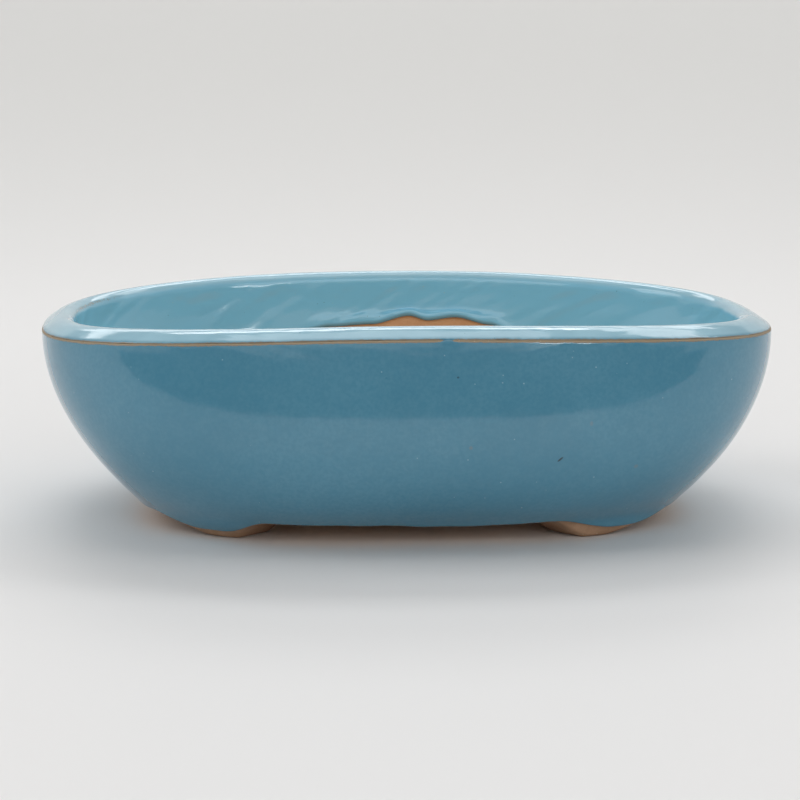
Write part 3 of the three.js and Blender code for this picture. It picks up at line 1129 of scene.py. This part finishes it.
class BONSAI_OT_rim_glaze(bpy.types.Operator):
    """Build the coat of glaze over the lip and down the top of the inside"""

    bl_idname = "bonsai.rim_glaze"
    bl_label = "Rim Glaze"

    AROUND = 540
    LOW_EDGE = 11.6 * MM
    POOLED_DEPTH = 0.6
    THUMB_DEPTH = 0.10 * MM
    THUMB_SLANT = 30 * MM
    # How much further up the far side's lower edge stops, at places along the pot, in millimetres.
    FAR_EDGE = (
        (-30, 0),
        (-22, 0.8),
        (-13, 2.2),
        (-4, 2.6),
        (4, 4.3),
        (8, 3.3),
        (14, 4.0),
        (22, 2.5),
        (30, 0),
    )

    def execute(self, context):
        shape = context.scene.bonsai_shape
        marks = {"thin": self.thin_places, "rolled": self.rolled_places}
        # The cloud mark also paints the light inside the pot, and the milky mark paints the reflection
        # over the lip.
        marks.update({"cloud": self.cloudy_and_lit_places, "milky": self.milky_sheen_places})
        ring = thrown_ring("rim_glaze", self.profile(shape), self.AROUND, self.wavy_edges, marks)
        pressed(ring, glaze_material())
        hand_over(ring, "blue_glaze", "rim_glaze")
        return {"FINISHED"}

    def profile(self, shape):
        """From the arris over the lip, down to the low edge inside and back up behind."""
        arris = shape.arris_height
        low = arris - self.LOW_EDGE
        over = at(
            arris,
            (0.16, 0.11),
            (0.16, 0.24),
            (0.42, 0.48),
            (1.3, 1.05),
            (2.6, 1.76),
            (3.8, 2.08),
            (4.8, 2.0),
            (5.7, 1.5),
            (6.25, 0.7),
            (6.5, -0.5),
            (6.75, -2.5),
            (7.3, -6),
        )
        low_edge = at(low, (7.75, 3), (8.05, 1.4), (8.15, 0.6), (8.0, 0.1), (7.75, 0))
        behind = at(low, (7.3, 0.2), (7.15, 2.5))
        under = at(
            arris,
            (6.7, -6),
            (6.1, -2.5),
            (5.7, 0.45),
            (5.1, 1.2),
            (4.1, 1.45),
            (2.7, 1.1),
            (1.4, 0.5),
            (0.6, 0.16),
        )
        front = smooth_profile(over + low_edge, 0.34 * MM)
        return np.vstack([front, smooth_profile(behind + under, 1.2 * MM)])

    def thin_places(self, angle, inset, height):
        """Thin along the arris, and a little on the lip's inner edge, more so at the far left."""
        arris = bpy.context.scene.bonsai_shape.arris_height
        outer = nearness(inset, height, (0.16 * MM, arris + 0.13 * MM), 0.36 * MM)
        inner = nearness(inset, height, (6.0 * MM, arris + 1.1 * MM), 0.9 * MM)
        left = ease(-np.cos(angle), 0.8, 0.97) * ease(np.sin(angle), -0.2, 0.2)
        return np.maximum(outer * (1 - pinched(angle)), inner * (0.1 + 0.5 * left))

    def cloudy_and_lit_places(self, angle, inset, height):
        """Cloudy where the coat lies thick, from the lip's crest down the inside, and painted lighter
        there for the light that falls into the pot.
        """
        return ease(inset, 4.6 * MM, 6.2 * MM)

    def milky_sheen_places(self, angle, inset, height):
        """Milky over the lip, and painted pale there for the bright reflection that it shows, from just
        above the arris to its inner edge.
        """
        arris = bpy.context.scene.bonsai_shape.arris_height
        return ease(height, arris + 0.1 * MM, arris + 0.8 * MM) * (1 - ease(inset, 5.8 * MM, 6.5 * MM))

    def rolled_places(self, angle, inset, height):
        """Pooled along the lower edge inside."""
        low = bpy.context.scene.bonsai_shape.arris_height - self.LOW_EDGE
        return self.POOLED_DEPTH * (1 - ease(height, low + 0.2 * MM, low + 1.1 * MM))

    def wavy_edges(self, angle, inset, height):
        """Lets the coat's lower edge inside the pot rise and fall, and its edge on the arris waver."""
        shape = bpy.context.scene.bonsai_shape
        arris = shape.arris_height
        near = 1 - ease(height, arris - 11 * MM, arris - 5 * MM)
        lift = (1.3 * round_noise(angle, 15, 3.1) + 0.4 * round_noise(angle, 60, 3.1)) * MM
        far = np.sin(angle) > 0.5
        x = (shape.rim_width - 6.2 * MM) * np.cos(angle) / np.where(far, np.sin(angle), 1)
        places, lifts = np.array(self.FAR_EDGE).T * MM
        on_far_side = np.where(far, smooth_steps(x, places, lifts), 0)
        lift = lift * (1 - ease(on_far_side, 0, 2 * MM)) + on_far_side
        edge = 1 - ease(height, arris + 0.2 * MM, arris + 1.2 * MM)
        edge = edge * (inset < 1.5 * MM)
        ragged = ragged_edge(angle, 8.0)
        thumbed = ease(inset, 5 * MM, 6 * MM) * self.thumb_marks(angle, height)
        return inset + thumbed, height + near * lift + edge * ragged

    def thumb_marks(self, angle, height):
        """Shallow slanting dents that thumbs left in the inside of the wall."""
        slant = angle + height / self.THUMB_SLANT
        return self.THUMB_DEPTH * (round_noise(slant, 34, 4.0) + 0.5 * round_noise(slant * 2, 40, 7.0))


class BONSAI_OT_stage(bpy.types.Operator):
    """Set the table, the soft light and the camera"""

    bl_idname = "bonsai.stage"
    bl_label = "Stage"

    TABLE_FRONT = 211 * MM
    TABLE_FLAT = 0.45
    SWEEP_RADIUS = 1.6
    SWEEP_ANGLE = 60
    CARD_FAR = 1.0
    CARD_REACH = 0.9
    # Each light's name and power setting, its elevation and its bearing from straight behind the pot in
    # degrees, its distance, and its width and height.
    LIGHTS = (
        ("back_light", "back", 50, 0, 2.5, (1.25, 0.5)),
        ("low_light", "low", 31, 0, 2.5, (1.8, 0.5)),
        ("window_light", "window", 48, 42, 2.5, (1.4, 0.6)),
        ("overhead_light", "overhead", 82, 0, 2.5, (1.25, 1.5)),
        ("doorway_light", "doorway", 14, 154, 1.2, (0.3, 0.12)),
        ("front_light", "front", 30, 180, 1.6, (1.8, 0.7)),
        ("left_light", "left", 35, -85, 1.8, (1.1, 1.1)),
        ("right_light", "right", 35, 85, 1.8, (1.1, 1.1)),
        ("lamp_left", "lamp", 35, -28, 2.5, (0.3, 0.3)),
        ("lamp_right", "lamp", 35, 28, 2.5, (0.3, 0.3)),
    )
    CAMERA_MIDDLE = (0, 0, 15 * MM)
    CAMERA_AIM = (-1.0 * MM, 0.8 * MM, 20.1 * MM)

    def execute(self, context):
        stage = context.scene.bonsai_stage
        self.table()
        self.front_card()
        self.lights(context, stage)
        self.camera(context, stage)
        return {"FINISHED"}

    def table(self):
        """A round table top that sweeps up gently on every side, like a wide dish."""
        profile = [(0, 0), (0.2, 0), (self.TABLE_FLAT, 0)]
        steps = 40
        for i in range(1, steps + 1):
            a = math.radians(self.SWEEP_ANGLE * i / steps)
            out = self.TABLE_FLAT + self.SWEEP_RADIUS * math.sin(a)
            profile.append((out, self.SWEEP_RADIUS * (1 - math.cos(a))))
        around = 128
        vertices = [(0, 0, 0)]
        for i in range(around):
            a = math.tau * i / around
            vertices += [(r * math.cos(a), r * math.sin(a), z) for r, z in profile[1:]]
        count = len(profile) - 1
        faces = []
        for i in range(around):
            row = 1 + i * count
            next_row = 1 + (i + 1) % around * count
            faces.append((0, row, next_row))
            faces += [(row + j, row + j + 1, next_row + j + 1, next_row + j) for j in range(count - 1)]
        table = new_piece("table", vertices, faces)
        table.data.materials.append(table_material())
        table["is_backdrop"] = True

    def sweep_height(self, radius):
        """How high the sweep has risen at a distance from the pot."""
        out = max(0.0, radius - self.TABLE_FLAT)
        return self.SWEEP_RADIUS - math.sqrt(self.SWEEP_RADIUS**2 - out**2)

    def front_card(self):
        """A dim sheet over the front of the table, seen only as a darker reflection in the glaze."""
        steps = 24
        across = np.linspace(-self.CARD_REACH, self.CARD_REACH, steps + 1)
        away = np.linspace(self.CARD_FAR, self.TABLE_FRONT, steps + 1)
        vertices = [(x, -y, self.sweep_height(math.hypot(x, y)) + 0.5 * MM) for y in away for x in across]
        row = steps + 1
        starts = [i * row + j for i in range(steps) for j in range(steps)]
        card = new_piece("front_card", vertices, [(k, k + 1, k + row + 1, k + row) for k in starts])
        material = bpy.data.materials.new("Dim card")
        material.use_nodes = True
        shader = material.node_tree.nodes["Principled BSDF"]
        shader.inputs["Base Color"].default_value = (0, 0, 0, 1)
        shader.inputs["Specular IOR Level"].default_value = 0
        shader.inputs["Emission Color"].default_value = (1, 1, 1, 1)
        shader.inputs["Emission Strength"].default_value = bpy.context.scene.bonsai_stage.card
        card.data.materials.append(material)
        card.visible_camera = False
        card.visible_diffuse = False
        card.visible_shadow = False
        card.visible_transmission = False
        card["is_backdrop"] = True

    def lights(self, context, stage):
        """Even light from all round, and the soft lights."""
        world = bpy.data.worlds.new("Studio")
        context.scene.world = world
        world.use_nodes = True
        world.node_tree.nodes["Background"].inputs["Color"].default_value = (1, 1, 1, 1)
        world.node_tree.nodes["Background"].inputs["Strength"].default_value = stage.room
        for name, setting, elevation, bearing, distance, size in self.LIGHTS:
            rise = math.radians(elevation)
            turn = math.radians(bearing)
            flat = math.cos(rise)
            way = Vector((flat * math.sin(turn), flat * math.cos(turn), math.sin(rise)))
            self.area_light(name, way * distance, size, getattr(stage, setting))

    def area_light(self, name, place, size, power):
        """A rectangular light that shines at the pot and isn't itself seen by the camera."""
        data = bpy.data.lights.new(name, "AREA")
        data.shape = "RECTANGLE"
        data.size, data.size_y = size
        data.energy = power
        light = bpy.data.objects.new(name, data)
        bpy.context.collection.objects.link(light)
        light.location = place
        light.rotation_euler = (-light.location).to_track_quat("-Z", "Y").to_euler()
        light.visible_camera = False

    def camera(self, context, stage):
        """The front view, a little above the table."""
        data = bpy.data.cameras.new("camera")
        data.sensor_width = 36
        data.lens = stage.lens
        camera = bpy.data.objects.new("camera", data)
        context.collection.objects.link(camera)
        rise = math.radians(stage.elevation)
        turn = math.radians(stage.azimuth)
        flat = math.cos(rise)
        back = Vector((-math.sin(turn) * flat, -math.cos(turn) * flat, math.sin(rise)))
        camera.location = Vector(self.CAMERA_MIDDLE) + back * stage.distance
        aim = Vector(self.CAMERA_AIM)
        camera.rotation_euler = (aim - camera.location).to_track_quat("-Z", "Y").to_euler()
        data.clip_start = 0.01
        data.clip_end = 20
        context.scene.camera = camera
        context.scene.view_settings.view_transform = "Standard"


class BONSAI_PT_pot(bpy.types.Panel):
    """Lists the pot's sizes, colours and pieces"""

    bl_idname = "BONSAI_PT_pot"
    bl_label = "Bonsai Pot"
    bl_space_type = "VIEW_3D"
    bl_region_type = "UI"
    bl_category = "Bonsai Pot"

    def draw(self, context):
        for operator in OPERATORS:
            self.layout.operator(operator.bl_idname)
        for key, group in SETTINGS.items():
            box = self.layout.box()
            box.label(text=group.__doc__)
            settings = getattr(context.scene, key)
            for name in group.__annotations__:
                box.prop(settings, name)


OPERATORS = (
    BONSAI_OT_stage,
    BONSAI_OT_clay_body,
    BONSAI_OT_feet,
    BONSAI_OT_outer_glaze,
    BONSAI_OT_rim_glaze,
)


def register():
    for group in (*SETTINGS.values(), *OPERATORS, BONSAI_PT_pot):
        bpy.utils.register_class(group)
    for key, group in SETTINGS.items():
        setattr(bpy.types.Scene, key, bpy.props.PointerProperty(type=group))


def unregister():
    for key in SETTINGS:
        delattr(bpy.types.Scene, key)
    for group in reversed((*SETTINGS.values(), *OPERATORS, BONSAI_PT_pot)):
        bpy.utils.unregister_class(group)


def main():
    register()
    bpy.ops.bonsai.stage()
    bpy.ops.bonsai.clay_body()
    bpy.ops.bonsai.feet()
    bpy.ops.bonsai.outer_glaze()
    bpy.ops.bonsai.rim_glaze()


if __name__ == "__main__":
    main()
